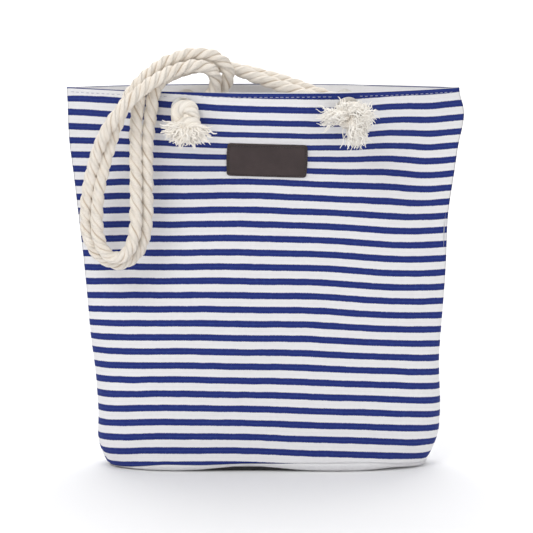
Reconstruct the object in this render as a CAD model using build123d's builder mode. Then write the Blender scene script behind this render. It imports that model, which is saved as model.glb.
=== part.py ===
from build123d import *
import math
import os

# A soft canvas beach bag: two striped panels on a white base, a leather label, four eyelets, and
# two rope handles that end in frayed knots. The handles lie over the front of the mouth.
# Millimetres. X runs along the bag, -Y is the front, +Z is up. The origin is the middle of the
# base, on the ground.

# ---- driving dimensions ----
TOP = 404.0               # height of the mouth
SEAM = 9.0                # height of the seam between the panels and the base
HEM_HALF_WIDTH = 209.5    # half the bag's width at the mouth
FOOT_HALF_WIDTH = 181.0   # half its width just above the base
FOOT = 45.0               # below this height the corners round in
FOOT_ROUNDING = 11.0      # how far they round in, down to the seam
BASE_DEPTH = 46.0         # from the middle to the front and the back at the base
SEAM_PLANE_SHIFT = 12.0   # how far back the side seams stand at the mouth
WAIST_FRONT = -10.0       # where the front panel stands at its waist
WAIST_BACK = 29.0         # where the back panel stands at its waist
MOUTH_BACK = 50.0         # where the back panel stands at the mouth
LIP = 30.0                # how far the top band is thrown forward over the crease
LIP_SPAN = 84.0           # height over which it comes forward
LEAN = 0.10               # forward lean of the top band, per millimetre of height

CANVAS = 1.3              # panel cloth
LAYER_GAP = 0.4           # between one layer of cloth and the next
HALF_GAP = 0.15           # from the side seam's plane to each half of a layer
LINING = 0.7
FACING = 0.8
FACING_HEIGHT = 42.0
FACING_DROP = 1.0         # from the hem down to the facing's edge
BASE_CLOTH = 1.4
BASE_ROUNDING = 7.0       # how far the base rounds in under the bag
BOARD = 2.4
BOARD_MARGIN = 1.0        # from the board to the cloth round it

EYELET_X = 85.0
EYELET_Z = 386.0
EYELET_BORE = 7.4         # radius
EYELET_BARREL = 8.3       # radius
EYELET_FLANGE = 13.0      # radius
EYELET_PLATE = 1.0
EYELET_HOLE = 8.5         # radius of the hole in the cloth
EYELET_ROUNDING = 0.4
EYELET_GAP = 1.1          # from the cloth to the flange
EYELET_REACH = 2.5        # how far the barrel goes past the cloth
KNOT_RADIUS = 12.5
KNOT_DEPTH = 18.0
KNOT_ROUNDING = 6.0
KNOT_GAP = 0.3            # from the eyelet to the knot
TASSEL_SIZES = {"left": (29.0, 28.0), "right": (33.0, 36.0)}   # half width and length
TASSEL_ROOT = (8.0, 6.0)  # half width and half depth under the knot
TASSEL_STEPS = ((0.6, 0.9, 8.0), (1.0, 0.7, 7.0))   # share of length, of half width, half depth
TASSEL_DROP = 3.0         # from the knot's edge down to the tassel

LABEL_X = 1.5
LABEL_Z = 330.0
LABEL_SIZE = (83.0, 36.5)    # width, and height as seen from the front
LABEL_CORNER = 3.0
LABEL_THICKNESS = 2.0
LABEL_GAP = 0.3           # from the panel to the label
STITCH_MARGIN = 2.4       # from the label's edge to its stitching
LABEL_THREAD = 0.6        # how far the label's stitching stands up
THREAD = 0.8              # width of a line of stitching
HEM_STITCH_DROP = 5.2     # from the hem down to its stitching
HEM_STITCH_OUT = (0.4, 1.0)   # the stitching lies between these heights above the panel

ROPE = 13.0               # rope diameter
JOINT_GAP = 0.4           # between the pieces of one rope
ARC_SHARE = 0.45          # how much of a run each arc beside it takes

BEYOND = 500.0            # longer than the bag, for cuts that go right through
EYELET_CUT = 12.0         # length of a cut through the cloth alone

LEVELS = (SEAM, FOOT, 110.0, 180.0, 245.0, 300.0, 342.0, 374.0, TOP)
FRONT, BACK = -1, 1

# The two handles, from the left eyelet to the right one: out of the eyelet into the bag, up over
# the front hem, down the front in a loop, up again behind the arch and back into the bag.
FRONT_ROUTE = [
    (-85, -42, 386), (-82, -26, 388), (-72, -15, 389), (-57, -12, 396), (-51, -14, 410),
    (-54, -21, 424), (-70, -29, 431), (-94, -43, 427), (-119, -63, 415), (-145, -80, 393),
    (-166, -70, 364), (-179, -56, 328), (-187, -46, 288), (-187, -42, 250), (-173, -42, 226),
    (-150, -42, 219), (-130, -41, 233), (-122, -40, 262), (-122, -40, 302), (-122, -42, 344),
    (-119, -44, 382), (-114, -45, 411), (-98, -24, 421), (-68, 1, 428), (-38, 13, 425),
    (-10, 9, 414), (20, 2, 404), (48, -5, 395), (70, -14, 389), (82, -26, 388), (85, -42, 386),
]
BACK_ROUTE = [
    (-85, 46, 386), (-83, 31, 388), (-72, 18, 389), (-51, 8, 394), (-39, -2, 409),
    (-39, -8, 428), (-56, -15, 441), (-84, -24, 442), (-113, -39, 430), (-141, -58, 404),
    (-154, -56, 368), (-164, -48, 330), (-172, -42, 290), (-172, -39, 256), (-162, -39, 238),
    (-146, -39, 238), (-137, -39, 258), (-137, -40, 298), (-138, -41, 340), (-134, -43, 378),
    (-129, -43, 408), (-113, -15, 424), (-78, 14, 425), (-44, 28, 424), (-10, 25, 417),
    (24, 21, 408), (54, 18, 397), (74, 21, 390), (83, 31, 388), (85, 46, 386),
]
LOOP_STARTS = {"front": 9, "back": 9}      # the loop begins halfway along the run after this point
LOOP_ENDS = {"front": 19, "back": 18}      # and ends halfway along the run after this one


# ---- the shape of the bag ----
def ease(t):
    """0 below 0, 1 above 1, and smooth between."""
    t = min(max(t, 0.0), 1.0)
    return t * t * (3 - 2 * t)


def half_width(z):
    if z < FOOT:
        return FOOT_HALF_WIDTH - FOOT_ROUNDING * ((FOOT - z) / (FOOT - SEAM)) ** 2
    rise = (z - FOOT) / (TOP - FOOT)
    return FOOT_HALF_WIDTH + (HEM_HALF_WIDTH - FOOT_HALF_WIDTH) * rise ** 1.2


def seam_plane(z):
    return SEAM_PLANE_SHIFT * ease((z - 90) / 200)


def middle(side, z, u):
    """Where a panel stands in Y at its middle. u is the place across it, from -1 to 1."""
    if side == BACK:
        lower = BASE_DEPTH - (BASE_DEPTH - WAIST_BACK) * ease((z - 40) / 240)
        return lower + (MOUTH_BACK - WAIST_BACK) * ease((z - 280) / (TOP - 280))
    lower = -BASE_DEPTH + (WAIST_FRONT + BASE_DEPTH) * ease((z - 20) / 250)
    crease = 300 + 30 * u * u
    return lower - LEAN * max(0.0, z - 300) - LIP * ease((z - crease) / LIP_SPAN)


def surface(side, x, z, inset=0.0):
    """Y of a panel, or of a layer inset from it: pinched at the side seams, boxy at the base."""
    boxy = 1 - ease((z - 40) / 220)
    u = max(-1.0, min(1.0, x / (half_width(z) - inset)))
    depth = abs(middle(side, z, u) - seam_plane(z)) - inset
    return seam_plane(z) + side * depth * (1 - abs(u) ** (2.3 + 1.9 * boxy)) ** (1 / (1 + 1.3 * boxy))


def across(side, z, inset, count=13):
    """Points of a panel's curve at one height, from the left seam to the right."""
    turns = [math.pi * (i / (count - 1) - 0.5) for i in range(count)]
    wide = half_width(z) - inset
    return [(wide * math.sin(t), surface(side, wide * math.sin(t), z, inset)) for t in turns]


def half_shell(side, outer, inner):
    """The front or the back of a layer of cloth, between two insets."""
    clear = side * HALF_GAP
    with BuildPart() as shell:
        for z in LEVELS:
            outside = [(x, y + clear) for x, y in across(side, z, outer)]
            inside = [(x, y + clear) for x, y in across(side, z, inner)]
            with BuildSketch(Plane.XY.offset(z)):
                with BuildLine():
                    Spline(outside)
                    Line(outside[-1], inside[-1])
                    Spline(inside[::-1])
                    Line(inside[0], outside[0])
                make_face()
        loft()
    return shell.part


def sack(steps):
    """The space inside one layer of the bag, lofted through (height, inset) steps."""
    with BuildPart() as filled:
        for z, inset in steps:
            with BuildSketch(Plane.XY.offset(z)):
                with BuildLine():
                    Spline(across(FRONT, z, inset))
                    Spline(across(BACK, z, inset)[::-1])
                make_face()
        loft()
    return filled.part


def band(layer, low, high):
    """What a layer holds between two heights."""
    with BuildPart() as cut:
        add(layer)
        with Locations((0, 0, (low + high) / 2)):
            Box(BEYOND, BEYOND, high - low, mode=Mode.INTERSECT)
    return cut.part


def surface_plane(side, x, z, stand_off=0.0):
    """A plane on the panel at one place, facing out of the bag."""
    y = surface(side, x, z)
    slope_x = (surface(side, x + 1, z) - surface(side, x - 1, z)) / 2
    slope_z = (surface(side, x, z + 1) - surface(side, x, z - 1)) / 2
    normal = Vector(-slope_x, 1, -slope_z).normalized() * side
    return Plane(origin=Vector(x, y, z) + normal * stand_off, x_dir=(1, slope_x, 0), z_dir=normal)


def finish(part, name):
    part.label = name
    export_step(part, f"parts/{name}.step")


os.makedirs("parts", exist_ok=True)
SIDES = (("front", FRONT), ("back", BACK))
ENDS = (("left", -EYELET_X), ("right", EYELET_X))
INSIDE = CANVAS + LAYER_GAP

# ---- striped panels and the facing inside the mouth, each with its eyelet holes ----
for side_name, side in SIDES:
    panel_shell = half_shell(side, 0.0, CANVAS)
    facing_shell = band(half_shell(side, INSIDE, INSIDE + FACING), TOP - FACING_HEIGHT, TOP - FACING_DROP)
    holes = [surface_plane(side, x, EYELET_Z) for _, x in ENDS]

    with BuildPart() as panel:
        add(panel_shell)
        with Locations(*holes):
            Cylinder(EYELET_HOLE, EYELET_CUT, mode=Mode.SUBTRACT)
    finish(panel.part, f"{side_name}_panel")

    with BuildPart() as facing:
        add(facing_shell)
        with Locations(*holes):
            Cylinder(EYELET_HOLE, EYELET_CUT, mode=Mode.SUBTRACT)
    finish(facing.part, f"{side_name}_facing")

# ---- lining: thin walls up to the facing, and a floor that lies on the base board ----
BOARD_BOTTOM = BASE_CLOTH + LAYER_GAP
FLOOR_BOTTOM = BOARD_BOTTOM + BOARD + LAYER_GAP
LINING_TOP = TOP - FACING_HEIGHT - LAYER_GAP
walls_outside = sack([(z, INSIDE) for z in LEVELS])
walls_inside = sack([(z, INSIDE + LINING) for z in LEVELS])
with BuildPart() as lining_walls:
    add(band(walls_outside, SEAM, LINING_TOP))
    add(band(walls_inside, SEAM - 1, LINING_TOP + 1), mode=Mode.SUBTRACT)
finish(lining_walls.part, "lining_walls")

# ---- base: a white cloth tray with a stiff board in it ----
def base_outline(inset):
    """The bag's outline at the seam, moved in."""
    return across(FRONT, SEAM, inset), across(BACK, SEAM, inset)[::-1]


def rounded_slab(insets):
    """A slab lofted through (height, inset) steps of the base's outline."""
    with BuildPart() as slab:
        for z, inset in insets:
            front_edge, back_edge = base_outline(inset)
            with BuildSketch(Plane.XY.offset(z)):
                with BuildLine():
                    Spline(front_edge)
                    Spline(back_edge)
                make_face()
        loft()
    return slab.part


tray_steps = [(0.0, BASE_ROUNDING), (2.5, BASE_ROUNDING * 0.35), (SEAM - 0.3, 0.0)]
tray_outside = rounded_slab(tray_steps)
tray_inside = rounded_slab([(z + BASE_CLOTH, inset + BASE_CLOTH) for z, inset in tray_steps])
with BuildPart() as base_panel:
    add(tray_outside)
    add(tray_inside, mode=Mode.SUBTRACT)
finish(base_panel.part, "base_panel")

for name, bottom, thickness in (("base_board", BOARD_BOTTOM, BOARD), ("lining_floor", FLOOR_BOTTOM, LINING)):
    front_edge, back_edge = base_outline(BASE_ROUNDING + BASE_CLOTH + BOARD_MARGIN)
    with BuildPart() as plate:
        with BuildSketch(Plane.XY.offset(bottom)):
            with BuildLine():
                Spline(front_edge)
                Spline(back_edge)
            make_face()
        extrude(amount=thickness)
    finish(plate.part, name)

# ---- the thread that holds the hem, a band just proud of the cloth ----
STITCH_Z = TOP - HEM_STITCH_DROP
stitch_outside = sack([(z, -HEM_STITCH_OUT[1]) for z in LEVELS])
stitch_inside = sack([(z, -HEM_STITCH_OUT[0]) for z in LEVELS])
with BuildPart() as hem_stitching:
    add(band(stitch_outside, STITCH_Z, STITCH_Z + THREAD))
    add(band(stitch_inside, STITCH_Z - 1, STITCH_Z + THREAD + 1), mode=Mode.SUBTRACT)
finish(hem_stitching.part, "hem_stitching")

# ---- leather label: a plate that follows the front panel, sewn round its edge ----
def front_plate(gap, thickness, width, height, corner):
    """The part of a layer in front of the front panel that lies in a rounded rectangle."""
    layer = half_shell(FRONT, -gap - thickness, -gap)
    with BuildPart() as plate:
        add(layer)
        with BuildSketch(Plane((LABEL_X, 0, LABEL_Z), x_dir=(1, 0, 0), z_dir=(0, -1, 0))):
            RectangleRounded(width, height, corner)
        extrude(amount=BEYOND, mode=Mode.INTERSECT)
    return plate.part


label_wide, label_high = LABEL_SIZE
with BuildPart() as leather_label:
    add(front_plate(LABEL_GAP, LABEL_THICKNESS, label_wide, label_high, LABEL_CORNER))
finish(leather_label.part, "leather_label")

thread_gap = LABEL_GAP + LABEL_THICKNESS + 0.1
outer_size = (label_wide - 2 * STITCH_MARGIN, label_high - 2 * STITCH_MARGIN)
thread_sheet = front_plate(thread_gap, LABEL_THREAD, *outer_size, LABEL_CORNER - 1)
with BuildPart() as label_stitching:
    add(thread_sheet)
    with BuildSketch(Plane((LABEL_X, 0, LABEL_Z), x_dir=(1, 0, 0), z_dir=(0, -1, 0))):
        RectangleRounded(*(size - 2 * THREAD for size in outer_size), LABEL_CORNER - 2 * THREAD)
    extrude(amount=BEYOND, mode=Mode.SUBTRACT)
finish(label_stitching.part, "label_stitching")

# ---- eyelets, washers, knots and their frayed tassels ----
STACK = CANVAS + LAYER_GAP + FACING
for side_name, side in SIDES:
    for end_name, x in ENDS:
        name = f"{side_name}_{end_name}"
        face = surface_plane(side, x, EYELET_Z, EYELET_GAP)
        with BuildPart(face) as eyelet:
            Cylinder(EYELET_FLANGE, EYELET_PLATE, align=(Align.CENTER, Align.CENTER, Align.MIN))
            barrel_length = STACK + EYELET_GAP + EYELET_REACH
            Cylinder(EYELET_BARREL, barrel_length, align=(Align.CENTER, Align.CENTER, Align.MAX))
            Cylinder(EYELET_BORE, BEYOND, mode=Mode.SUBTRACT)
            fillet(eyelet.edges().sort_by(Axis(face.origin, face.z_dir))[-2:], EYELET_ROUNDING)
        finish(eyelet.part, f"{name}_eyelet")

        behind = surface_plane(side, x, EYELET_Z, -STACK - EYELET_GAP)
        with BuildPart(behind) as washer:
            Cylinder(EYELET_FLANGE - 1, EYELET_PLATE, align=(Align.CENTER, Align.CENTER, Align.MAX))
            Cylinder(EYELET_BARREL + 0.05, BEYOND, mode=Mode.SUBTRACT)
        finish(washer.part, f"{name}_washer")

        outside = surface_plane(side, x, EYELET_Z, EYELET_GAP + EYELET_PLATE + KNOT_GAP)
        with BuildPart(outside) as knot:
            Cylinder(KNOT_RADIUS, KNOT_DEPTH, align=(Align.CENTER, Align.CENTER, Align.MIN))
            fillet(knot.edges(), KNOT_ROUNDING)
        finish(knot.part, f"{name}_knot")

        half_tassel, tassel_length = TASSEL_SIZES[end_name]
        tassel_y = surface(side, x, EYELET_Z) + side * (KNOT_DEPTH / 2 + 2)
        tassel_top = EYELET_Z - KNOT_RADIUS - TASSEL_DROP
        with BuildPart() as tassel:
            with BuildSketch(Plane((x, tassel_y, tassel_top))):
                Ellipse(*TASSEL_ROOT)
            for down, wide, half_depth in TASSEL_STEPS:
                with BuildSketch(Plane((x, tassel_y, tassel_top - tassel_length * down))):
                    Ellipse(half_tassel * wide, half_depth)
            loft()
        finish(tassel.part, f"{name}_tassel")


# ---- rope handles ----
def corner_radii(route):
    """The largest arc that the two runs at each corner allow."""
    radii = []
    for before, corner, after in zip(route, route[1:], route[2:]):
        arriving = Vector(corner) - Vector(before)
        leaving = Vector(after) - Vector(corner)
        turn = math.radians(arriving.get_angle(leaving))
        radii.append(ARC_SHARE * min(arriving.length, leaving.length) / math.tan(turn / 2))
    return radii


def between(route, index):
    """The place halfway along the run after a point."""
    return (Vector(route[index]) + Vector(route[index + 1])) * 0.5


def tube(points, radii):
    """A rope along runs and arcs, with a little taken off each end."""
    with BuildPart() as rope:
        with BuildLine() as path:
            FilletPolyline(*points, radius=radii)
        with BuildSketch(Plane(path.line @ 0, z_dir=path.line % 0)):
            Circle(ROPE / 2)
        sweep(path=path.line)
    length = sum(edge.length for edge in path.edges())
    straight = rope.part.volume / (math.pi * ROPE ** 2 / 4)
    print(f"  tube {length:.1f} mm, volume over section {straight:.1f} mm")
    return rope.part


def shortened(end, towards, gap):
    """A point moved towards its neighbour by half the gap between two pieces."""
    return Vector(end) + (Vector(towards) - Vector(end)).normalized() * gap / 2


for side_name, route in (("front", FRONT_ROUTE), ("back", BACK_ROUTE)):
    radii = corner_radii(route)
    print(side_name, "handle radii", [round(r) for r in radii])
    start, end = LOOP_STARTS[side_name], LOOP_ENDS[side_name]
    first_break, second_break = between(route, start), between(route, end)
    pieces = {
        "left_arm": ([*route[:start + 1], shortened(first_break, route[start], JOINT_GAP)], radii[:start]),
        "loop": ([shortened(first_break, route[start + 1], JOINT_GAP), *route[start + 1:end + 1],
                  shortened(second_break, route[end], JOINT_GAP)], radii[start:end]),
        "right_arm": ([shortened(second_break, route[end + 1], JOINT_GAP), *route[end + 1:]], radii[end:]),
    }
    for piece_name, (points, piece_radii) in pieces.items():
        finish(tube(points, piece_radii), f"{side_name}_handle_{piece_name}")
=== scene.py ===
from math import cos, pi, radians, sin, sqrt

import bpy
import numpy as np
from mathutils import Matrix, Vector


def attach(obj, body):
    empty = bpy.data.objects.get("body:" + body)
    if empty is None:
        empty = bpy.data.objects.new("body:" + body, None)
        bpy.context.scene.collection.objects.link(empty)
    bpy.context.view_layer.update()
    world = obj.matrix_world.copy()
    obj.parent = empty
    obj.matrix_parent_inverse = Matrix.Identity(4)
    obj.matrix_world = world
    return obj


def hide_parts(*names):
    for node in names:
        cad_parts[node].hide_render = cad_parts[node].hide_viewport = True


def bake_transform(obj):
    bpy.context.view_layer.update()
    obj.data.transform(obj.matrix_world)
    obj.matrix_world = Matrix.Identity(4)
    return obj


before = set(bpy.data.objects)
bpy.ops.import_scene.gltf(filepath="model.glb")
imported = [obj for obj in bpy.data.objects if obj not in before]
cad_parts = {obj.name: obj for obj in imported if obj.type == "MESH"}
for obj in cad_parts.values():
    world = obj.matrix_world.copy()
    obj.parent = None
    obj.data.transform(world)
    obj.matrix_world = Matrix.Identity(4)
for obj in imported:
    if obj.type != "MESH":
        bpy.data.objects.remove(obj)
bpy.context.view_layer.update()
SCENE = bpy.context.scene
MM = 0.001
FRONT, BACK = -1, 1

# ---- camera ----
TARGET = Vector((0.001, 0.0, 0.2136))
CAMERA_DISTANCE = 2.885
CAMERA_RISE = radians(9.3)
camera = bpy.data.objects.new("camera", bpy.data.cameras.new("camera"))
camera.data.sensor_width = 36
camera.data.lens = 183.5
camera.location = TARGET + CAMERA_DISTANCE * Vector((0, -cos(CAMERA_RISE), sin(CAMERA_RISE)))
camera.rotation_euler = (pi / 2 - CAMERA_RISE, 0, 0)
SCENE.collection.objects.link(camera)
SCENE.camera = camera

# ---- the bag's measures, in millimetres as in the CAD ----
TOP, SEAM, FOOT = 404.0, 9.0, 45.0  # heights of the hem, the base seam and the foot
HEM_HALF_WIDTH, FOOT_HALF_WIDTH, FOOT_ROUNDING = 209.5, 181.0, 11.0
BASE_DEPTH, SEAM_PLANE_SHIFT = 46.0, 12.0  # half the base's depth, and how far back the seams stand
WAIST_FRONT, WAIST_BACK, MOUTH_BACK = -10.0, 29.0, 50.0
LIP, LIP_SPAN, LEAN = 30.0, 84.0, 0.10  # how the front panel turns outwards at its top
CANVAS, LAYER_GAP, LINING, FACING, FACING_HEIGHT = 1.3, 0.4, 0.7, 0.8, 42.0
LINING_GAP, CLOTH_RISE, BASE_CLOTH = 0.5, 0.15, 1.2
BASE_ROUNDING = 7.0
FLOOR_HALF_WIDTH, FLOOR_Z = 160.6, 4.60
EYELET_X, EYELET_Z = 85.0, 386.0
EYELET_HOLE = 9.6  # radius of the hole in the cloth's mesh, under the flange
HEM_STITCH_Z, HEM_STITCH_PITCH = TOP - 5.2, 5.5
HEM_STITCH_LENGTH, HEM_STITCH_REACH = 3.4, 203.0
EYELET_CLEARANCE = 14.0  # no hem stitches this near an eyelet's middle
STRIPE_REPEAT, STRIPE_BLUE = 15.0, 0.465  # the stripes' pitch, and the blue share of it

FRONT_ROUTE = [
    (-85, -42, 386), (-82, -26, 388), (-72, -15, 389), (-57, -12, 396), (-51, -14, 410),
    (-54, -21, 424), (-70, -29, 431), (-94, -43, 427), (-119, -63, 415), (-145, -80, 393),
    (-166, -70, 364), (-179, -56, 328), (-187, -46, 288), (-187, -42, 252), (-173, -42, 229),
    (-150, -42, 221), (-131, -41, 236), (-123.5, -40, 264), (-123.5, -40, 302), (-123.5, -42, 344),
    (-119, -44, 382), (-114, -45, 411), (-98, -24, 421), (-68, 1, 428), (-38, 13, 425),
    (-10, 9, 414), (20, 2, 404), (48, -5, 395), (70, -14, 389), (82, -26, 388), (85, -42, 386),
]
BACK_ROUTE = [
    (-85, 46, 386), (-83, 31, 388), (-72, 18, 389), (-51, 8, 394), (-39, -2, 409),
    (-39, -8, 428), (-56, -15, 441), (-84, -24, 442), (-113, -39, 430), (-141, -58, 404),
    (-155, -60, 368), (-167, -55, 330), (-175.5, -50, 290), (-176, -50, 254), (-165, -53, 232),
    (-147, -54, 231), (-135, -51, 252), (-134.5, -48, 298), (-135, -47, 340), (-134, -46, 378),
    (-129, -43, 408), (-113, -15, 424), (-78, 14, 425), (-44, 28, 424), (-10, 25, 417),
    (24, 21, 408), (54, 18, 397), (74, 21, 390), (83, 31, 388), (85, 46, 386),
]


# ---- materials ----
class Nodes:
    """A short way to write a material's nodes."""

    def __init__(self, name, roughness=0.9, specular=0.2, metallic=0.0, sheen=0.0):
        self.material = bpy.data.materials.new(name)
        self.material.use_nodes = True
        self.tree = self.material.node_tree
        self.shader = self.tree.nodes["Principled BSDF"]
        self.shader.inputs["Roughness"].default_value = roughness
        self.shader.inputs["Specular IOR Level"].default_value = specular
        self.shader.inputs["Metallic"].default_value = metallic
        self.shader.inputs["Sheen Weight"].default_value = sheen
        self.shader.inputs["Sheen Roughness"].default_value = 0.6

    def put(self, socket, value):
        if isinstance(value, bpy.types.NodeSocket):
            self.tree.links.new(value, socket)
        elif isinstance(value, (tuple, list)) and len(value) == 3 and len(socket.default_value) == 4:
            socket.default_value = (*value, 1)
        else:
            socket.default_value = value

    def node(self, kind, inputs=(), output=0, **settings):
        made = self.tree.nodes.new(kind)
        for key, value in settings.items():
            setattr(made, key, value)
        for key, value in dict(inputs).items():
            self.put(made.inputs[key], value)
        return made.outputs[output]

    def math(self, operation, *values):
        return self.node("ShaderNodeMath", dict(enumerate(values)), operation=operation)

    def attribute(self, name):
        """A vector attribute and its three parts."""
        vector = self.node("ShaderNodeAttribute", output="Vector", attribute_name=name)
        split = self.tree.nodes.new("ShaderNodeSeparateXYZ")
        self.tree.links.new(vector, split.inputs[0])
        return vector, split.outputs[0], split.outputs[1], split.outputs[2]

    def place(self):
        return self.node("ShaderNodeTexCoord", output="Object")

    def noise(self, vector, scale, detail=3.0, rough=0.5):
        return self.node("ShaderNodeTexNoise", {"Vector": vector, "Scale": scale, "Detail": detail,
                                                "Roughness": rough}, output="Fac")

    def mix(self, factor, a, b):
        made = self.tree.nodes.new("ShaderNodeMix")
        made.data_type = "RGBA"
        self.put(made.inputs[0], factor)
        self.put(made.inputs[6], a)
        self.put(made.inputs[7], b)
        return made.outputs[2]

    def span(self, value, low, high, to_low=0.0, to_high=1.0):
        return self.node("ShaderNodeMapRange", {"Value": value, "From Min": low, "From Max": high,
                                                "To Min": to_low, "To Max": to_high},
                         interpolation_type="SMOOTHSTEP")

    def wave(self, value, period, phase=0.0):
        """Runs from 0 to 1 and back over each period."""
        turns = self.math("MULTIPLY_ADD", value, 2 * pi / period, phase)
        return self.math("MULTIPLY_ADD", self.math("SINE", turns), 0.5, 0.5)

    def bump(self, height, distance, strength=1.0, under=None):
        inputs = {"Height": height, "Distance": distance, "Strength": strength}
        if under is not None:
            inputs["Normal"] = under
        return self.node("ShaderNodeBump", inputs)

    def finish(self, colour, normal, roughness=None):
        self.put(self.shader.inputs["Base Color"], colour)
        self.put(self.shader.inputs["Normal"], normal)
        if roughness is not None:
            self.put(self.shader.inputs["Roughness"], roughness)
        return self.material


WHITE_YARN = (0.875, 0.87, 0.88)
BLUE_YARN = (0.022, 0.038, 0.215)
YARN_ALONG, YARN_DOWN = 0.0013, 0.0011  # pitch of the canvas's yarns, in metres


def canvas(name, striped):
    """Plain-weave canvas. Its coordinates are metres along the stripes and down the cloth."""
    n = Nodes(name, roughness=0.92, specular=0.10, sheen=0.05)
    vector, along, down, _ = n.attribute("cloth")
    wobble = n.math("MULTIPLY_ADD", n.noise(vector, 55, 2), 0.0011, -0.00055)
    fray = n.math("MULTIPLY_ADD", n.noise(vector, 800, 2), 0.0009, -0.00045)
    warp = n.wave(n.math("ADD", along, wobble), YARN_ALONG)
    weft = n.wave(n.math("ADD", down, wobble), YARN_DOWN)
    weave = n.math("MULTIPLY", warp, weft)
    slub = n.noise(vector, 260, 3, 0.6)
    white = n.mix(n.span(weave, 0.0, 0.55, 0.30, 0.0), WHITE_YARN, (0.70, 0.69, 0.71))
    white = n.mix(n.span(slub, 0.35, 0.75, 0.0, 0.16), white, (0.70, 0.69, 0.70))
    colour = white
    if striped:
        place = n.math("DIVIDE", n.math("ADD", n.math("ADD", down, fray), wobble), STRIPE_REPEAT * MM)
        away = n.math("ABSOLUTE", n.math("SUBTRACT", n.math("FRACT", n.math("ADD", place, 0.5)), 0.5))
        half = STRIPE_BLUE / 2
        is_blue = n.span(away, half - 0.022, half + 0.022, 1.0, 0.0)
        blue = n.mix(n.span(weave, 0.0, 0.5, 0.45, 0.0), BLUE_YARN, (0.010, 0.014, 0.090))
        blue = n.mix(n.span(slub, 0.45, 0.8, 0.0, 0.4), blue, (0.034, 0.066, 0.28))
        rib = n.span(away, 0.015, 0.05, 0.32, 0.0)
        blue = n.mix(rib, blue, (0.042, 0.080, 0.31))
        edge = n.span(n.math("ABSOLUTE", n.math("SUBTRACT", away, 0.5)), 0.01, 0.045, 0.22, 0.0)
        white = n.mix(edge, white, (0.66, 0.66, 0.69))
        colour = n.mix(is_blue, white, blue)
    soft = n.bump(n.noise(vector, 34, 3), 0.0012, 0.5)
    yarns = n.bump(n.math("MULTIPLY_ADD", slub, 0.5, weave), 0.00035, 0.8, soft)
    return n.finish(colour, yarns)


def rope_cotton(name, pale, deep, dark_yarn_and_groove_shade, groove_shade_strength):
    """Cotton rope: fine yarns laid along each strand, with painted shade that darkens the hollows between
    the strands.
    """
    n = Nodes(name, roughness=0.95, specular=0.08, sheen=0.25)
    vector, around, along, groove_shade = n.attribute("yarn")
    twist = n.math("MULTIPLY_ADD", along, 1900.0, n.math("MULTIPLY", around, 12.0))
    ragged = n.noise(vector, 22, 4, 0.65)
    yarn = n.math("MULTIPLY_ADD", n.math("SINE", n.math("MULTIPLY_ADD", ragged, 3.0, twist)), 0.5, 0.5)
    tone = n.mix(n.span(n.noise(n.place(), 90, 4, 0.6), 0.3, 0.75), pale, deep)
    tone = n.mix(n.span(yarn, 0.0, 0.6, 0.26, 0.0), tone, dark_yarn_and_groove_shade)
    tone = n.mix(n.span(n.noise(n.place(), 1100, 3, 0.7), 0.46, 0.78, 0.0, 0.26), tone, dark_yarn_and_groove_shade)
    # painted shade: the hollows between the strands are darkened towards the dark yarn colour
    tone = n.mix(n.span(groove_shade, 0.15, 1.0, 0.0, groove_shade_strength), tone, dark_yarn_and_groove_shade)
    fine = n.bump(n.math("MULTIPLY_ADD", n.noise(n.place(), 1900, 2), 0.4, yarn), 0.0004, 0.7)
    return n.finish(tone, fine)


def leather(name):
    n = Nodes(name, roughness=0.55, specular=0.35)
    place = n.place()
    cells = n.node("ShaderNodeTexVoronoi", {"Vector": place, "Scale": 780.0}, output="Distance")
    patch = n.noise(place, 48, 4, 0.6)
    tone = n.mix(n.span(patch, 0.3, 0.75), (0.040, 0.027, 0.026), (0.056, 0.039, 0.038))
    tone = n.mix(n.span(cells, 0.0, 0.25, 0.35, 0.0), tone, (0.034, 0.024, 0.023))
    _, frame_line, edge, _ = n.attribute("label")
    tone = n.mix(n.math("MULTIPLY", frame_line, 0.55), tone, (0.026, 0.019, 0.018))
    tone = n.mix(n.math("MULTIPLY", edge, 0.6), tone, (0.036, 0.026, 0.024))
    height = n.math("MULTIPLY_ADD", n.noise(place, 2200, 2), 0.25, cells)
    return n.finish(tone, n.bump(height, 0.00022, 0.7), n.span(patch, 0.2, 0.8, 0.48, 0.66))


def thread(name, light, dark):
    n = Nodes(name, roughness=0.7, specular=0.25, sheen=0.2)
    place = n.place()
    ply = n.node("ShaderNodeTexWave", {"Vector": place, "Scale": 420.0, "Distortion": 2.0},
                 output="Fac", bands_direction="DIAGONAL")
    tone = n.mix(n.span(ply, 0.2, 0.9), dark, light)
    return n.finish(tone, n.bump(ply, 0.00012, 0.8))


def metal(name):
    n = Nodes(name, roughness=0.38, specular=0.5, metallic=1.0)
    place = n.place()
    worn = n.noise(place, 130, 4, 0.6)
    tone = n.mix(n.span(worn, 0.35, 0.7), (0.78, 0.77, 0.74), (0.62, 0.60, 0.57))
    scratch = n.noise(place, 1500, 2)
    return n.finish(tone, n.bump(scratch, 0.00008, 0.5), n.span(worn, 0.3, 0.8, 0.30, 0.52))


def plastic_board(name):
    n = Nodes(name, roughness=0.6, specular=0.3)
    place = n.place()
    grain = n.noise(place, 900, 3)
    tone = n.mix(n.span(n.noise(place, 30, 3), 0.3, 0.7), (0.030, 0.030, 0.034), (0.045, 0.045, 0.05))
    return n.finish(tone, n.bump(grain, 0.0002, 0.6), n.span(grain, 0.3, 0.7, 0.5, 0.7))


STRIPED = canvas("striped_canvas", True)
PLAIN = canvas("white_canvas", False)
# the last number sets how strong the painted shade between the strands is
COTTON = rope_cotton("rope_cotton", (0.935, 0.88, 0.80), (0.87, 0.80, 0.705), (0.50, 0.38, 0.26), 0.9)
# painted light: the knots' rope is the same cotton as the handles, made paler here for the light on the
# knots, with weaker painted shade between the strands
PAINTED_LIT_KNOT_COTTON = rope_cotton("painted_lit_knot_cotton", (0.96, 0.915, 0.84), (0.92, 0.86, 0.77), (0.62, 0.52, 0.40), 0.30)


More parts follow.
